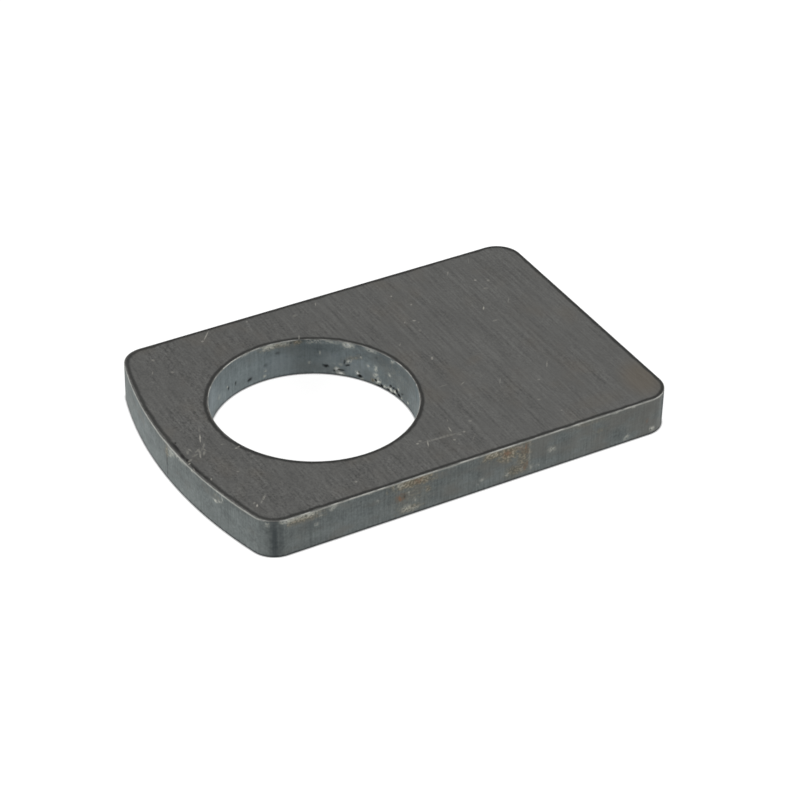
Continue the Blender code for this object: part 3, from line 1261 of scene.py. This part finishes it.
        return turn * radius * angle, on, out

    def mark_place(self, side: Side, mark: Mark) -> float:
        """Where a mark lies along its wall laid out flat.

        Args:
            side: The wall.
            mark: The mark.

        Returns:
            Its place, as unrolled() gives it for a point.
        """
        if side is Side.BORE:
            return -self.outline.hole_radius * math.radians(mark.along)
        if side in (Side.BOW_CORNER, Side.TAIL_CORNER):
            return self.outline.corner_radius * math.radians(mark.along)
        return -mark.along * MM if side is Side.BOW else mark.along * MM

    def hidden_marks(self) -> dict[Side, list[Mark]]:
        """Marks of the same kinds for the walls that the photo doesn't show.

        Returns:
            The marks on each of these walls.
        """
        draw = random.Random(self.seed)
        hidden = {}
        for side, low, high, patches in (
            (Side.BACK, -38.0, 38.0, 3), (Side.END, -24.0, 24.0, 2), (Side.BORE, 160.0, 340.0, 0),
        ):
            marks = hidden[side] = []
            for _ in range(patches):
                along = draw.uniform(low, high)
                marks.append(Mark(FILM, along, 7.2, draw.uniform(2.5, 4.5), 1.1, power=5.0))
                marks.append(Mark(RUST, along + draw.uniform(-1, 1), 6.6, 1.4, draw.uniform(0.8, 1.8)))
            for _ in range(self.hidden_crumbs):
                size = draw.uniform(0.25, 0.5)
                place = draw.uniform(low, high), draw.uniform(0.8, 7.0)
                marks.append(Mark(PALE, *place, size, draw.uniform(0.25, 0.5), 0.6, relief=0.03))
            for _ in range(self.hidden_pits):
                place = draw.uniform(low, high), draw.uniform(0.8, 4.0)
                marks.append(Mark(PIT, *place, draw.uniform(0.3, 0.6), 0.35, 0.7, relief=-0.1))
        return hidden

    def paint_and_dent(self, marks: dict[Side, list[Mark]]) -> None:
        """Paint the marks on the piece's points, and move the points that have relief.

        Args:
            marks: The marks on each wall.
        """
        start = self.points()
        co = start.copy()
        layers = {layer: np.zeros(len(co)) for layer in Layer}
        layers[RIM] = self.outline.rim_distance(start) / MM
        ragged = np.array([noise.noise(Vector(point) / self.ragged_grain) for point in start])
        around = 2 * math.pi * self.outline.hole_radius
        for side, on_side in marks.items():
            wall, on, out = self.unrolled(side, start)
            for mark in on_side:
                along = wall - self.mark_place(side, mark)
                if side is Side.BORE:
                    along = np.mod(along + around / 2, around) - around / 2
                up = start[:, 2] - mark.height * MM
                lean = math.radians(mark.lean)
                u = (along * math.cos(lean) + up * math.sin(lean)) / (mark.reach * MM)
                v = (up * math.cos(lean) - along * math.sin(lean)) / (mark.rise * MM)
                spread = (np.abs(u) ** mark.power + np.abs(v) ** mark.power) ** (1 / mark.power)
                spread *= 1 + self.raggedness * ragged
                paint = np.clip(self.mark_core - self.mark_fall * spread, 0.0, 1.0) * mark.strength
                layers[mark.layer] = np.maximum(layers[mark.layer], np.where(on, paint, 0.0))
                dome = np.where(on, np.clip(1.0 - spread ** 2, 0.0, 1.0), 0.0)
                co += (dome * mark.relief * MM)[:, None] * out
        for index, (x, y, z) in enumerate(co):
            if 0 < z < self.thickness:
                co[index] = self.roughened(x, y, z)
        self.piece.data.vertices.foreach_set("co", co.astype(np.float32).ravel())
        for layer, values in layers.items():
            attribute = self.piece.data.attributes.new(layer.value, "FLOAT", "POINT")
            attribute.data.foreach_set("value", values.astype(np.float32))
        self.piece.data.update()

    def roughened(self, x: float, y: float, z: float) -> Triple:
        """A point of a wall, moved in or out by the unevenness of the cut.

        Args:
            x: Along the plate.
            y: Across the plate.
            z: Height above the underside.

        Returns:
            The point's new place.
        """
        o = self.outline
        if self.is_bore(x, y):
            out = Vector((o.hole_x - x, -y, 0.0)).normalized()
        elif abs(x) < -o.bow_corner_x:
            out = Vector((0.0, math.copysign(1.0, y), 0.0))
        else:
            out = Vector((math.copysign(1.0, x), 0.0, 0.0))
        place = Vector((x, y, z)) / MM
        offset = sum(
            depth * noise.noise(Vector((place.x / width, place.y / width, place.z / height + shift)))
            for width, height, shift, depth in self.unevenness
        )
        moved = Vector((x, y, z)) + out * offset * MM
        return moved.x, moved.y, moved.z

    def region_of(self, face: bpy.types.MeshPolygon) -> Region:
        """Which surface of the plate a face belongs to.

        Args:
            face: A face of the finished mesh.

        Returns:
            Its surface.
        """
        x, y, z = face.center
        if abs(face.normal.z) > LEVEL_NORMAL:
            return Region.TOP if z > self.thickness / 2 else Region.UNDERSIDE
        if self.edge_break < z < self.thickness - self.edge_break:
            return Region.BORE if self.is_bore(x, y) else Region.WALL
        return Region.ARRIS

    def build(self) -> None:
        """Model the plate."""
        bpy.ops.object.select_all(action="DESELECT")
        self.draw_outline()
        self.shape_solid()
        self.refine_skin()
        hidden = self.hidden_marks()
        self.paint_and_dent({side: [*SEEN_MARKS.get(side, ()), *hidden.get(side, ())] for side in Side})
        bpy.ops.object.shade_smooth_by_angle(angle=self.smooth_angle)

    def dress(self) -> None:
        """Give each surface its finish, and stand the piece in for the CAD node."""
        finishes = {
            Region.TOP: RolledFace(
                "hot_rolled_steel_upper_face", TOP_STROKES, TOP_CHIPS, TOP_TINTS, self.thickness,
            ),
            Region.UNDERSIDE: RolledFace("hot_rolled_steel_underside", UNDERSIDE_STROKES, (), (), 0.0),
            Region.WALL: CutWall("cut_steel_edge_oxide"),
            Region.BORE: CutWall(
                "cut_steel_bore_oxide", light_drag="#727a7b", dark_drag="#383e40", warm_drag="#585c5b",
                rubbed_part=0.2, lower_edge_shade_part=0.45, rising=0.15, drag_part=0.5, mottle_part=0.45,
            ),
            Region.ARRIS: RubbedArris("rubbed_steel_arris", self.thickness),
        }
        self.piece.data.materials.clear()
        for region in Region:
            self.piece.data.materials.append(finishes[region].material())
        for face in self.piece.data.polygons:
            face.material_index = self.region_of(face).value
        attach(self.piece, "root")
        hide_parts("locking_plate")


@dataclass
class Softbox:
    """One soft lamp.

    Attributes:
        name: Where it stands.
        azimuth: Its direction round the plate from +X, anticlockwise, in degrees.
        elevation: Its height above the floor, in degrees.
        power: Its light, in watts.
        size: Its width.
        distance: How far it is from the plate.
    """

    name: str
    azimuth: float
    elevation: float
    power: float
    size: float = 0.35
    distance: float = 0.8

    def build(self) -> None:
        """Hang the lamp, facing the plate."""
        turn, rise = math.radians(self.azimuth), math.radians(self.elevation)
        towards = Vector((math.cos(turn) * math.cos(rise), math.sin(turn) * math.cos(rise), math.sin(rise)))
        data = bpy.data.lights.new(self.name, "AREA")
        data.energy = self.power
        data.size = self.size
        lamp = bpy.data.objects.new(self.name, data)
        lamp.location = towards * self.distance
        lamp.rotation_mode = "QUATERNION"
        lamp.rotation_quaternion = towards.to_track_quat("Z", "Y")
        bpy.context.scene.collection.objects.link(lamp)


@dataclass
class Studio:
    """Floor, lamps, world and camera."""

    floor_size: float = 6.0
    floor_gap: float = 0.02 * MM
    world_strength: float = 0.02
    lamps: tuple[Softbox, ...] = (
        Softbox("lamp_left", 154.0, 18.0, 8.8, 0.3),
        Softbox("lamp_right", 330.0, 18.0, 6.7, 0.3),
        Softbox("lamp_front_high", 240.0, 50.0, 6.4, 0.45),
    )
    azimuth: float = -30.44
    elevation: float = 35.21
    roll: float = 1.27
    distance: float = 524.5 * MM
    aim_right: float = 2.974 * MM
    aim_up: float = 2.107 * MM
    lens: float = 125.27
    sensor: float = 36.0

    def build_floor(self) -> None:
        """Lay the pale floor just under the plate."""
        bpy.ops.object.select_all(action="DESELECT")
        bpy.ops.mesh.primitive_plane_add(size=self.floor_size, location=(0.0, 0.0, -self.floor_gap))
        floor = bpy.context.object
        floor.name = floor.data.name = "floor"
        bpy.ops.object.transform_apply(location=True, rotation=True, scale=True)
        floor.data.materials.append(PaleFloor().material())

    def build_world(self) -> None:
        """Even pale light from all round, white to the camera."""
        world = bpy.data.worlds.new("even_white_tent")
        world.use_nodes = True
        tree = world.node_tree
        tree.nodes.clear()
        soft = add_node(tree, "Background", [WHITE, self.world_strength])
        white = add_node(tree, "Background", [WHITE, 1.0])
        mix = add_node(tree, "MixShader", [shown_white(tree), soft, white])
        add_node(tree, "OutputWorld", [mix])
        bpy.context.scene.world = world

    def build_camera(self) -> None:
        """Set the camera where the photo was taken from."""
        turn, rise, roll = (math.radians(a) for a in (self.azimuth, self.elevation, self.roll))
        right = Vector((math.cos(turn), math.sin(turn), 0.0))
        back = Vector((math.sin(turn) * math.cos(rise), -math.cos(turn) * math.cos(rise), math.sin(rise)))
        up = back.cross(right)
        side = math.cos(roll) * right + math.sin(roll) * up
        head = math.cos(roll) * up - math.sin(roll) * right
        data = bpy.data.cameras.new("camera")
        data.lens = self.lens
        data.sensor_width = self.sensor
        camera = bpy.data.objects.new("camera", data)
        place = side * self.aim_right + head * self.aim_up + back * self.distance
        camera.matrix_world = Matrix.Translation(place) @ Matrix((side, head, back)).transposed().to_4x4()
        bpy.context.scene.collection.objects.link(camera)
        bpy.context.scene.camera = camera

    def build(self) -> None:
        """Set up the whole studio."""
        self.build_floor()
        for lamp in self.lamps:
            lamp.build()
        self.build_world()
        self.build_camera()
        bpy.context.scene.view_settings.view_transform = "Standard"


def main() -> None:
    """Build the plate and the studio, and report the piece."""
    plate = LockingPlate()
    plate.build()
    plate.dress()
    triangles = sum(len(face.vertices) - 2 for face in plate.piece.data.polygons)
    LOG.info("%s: %d triangles", plate.piece.name, triangles)
    Studio().build()


if __name__ == "__main__":
    main()
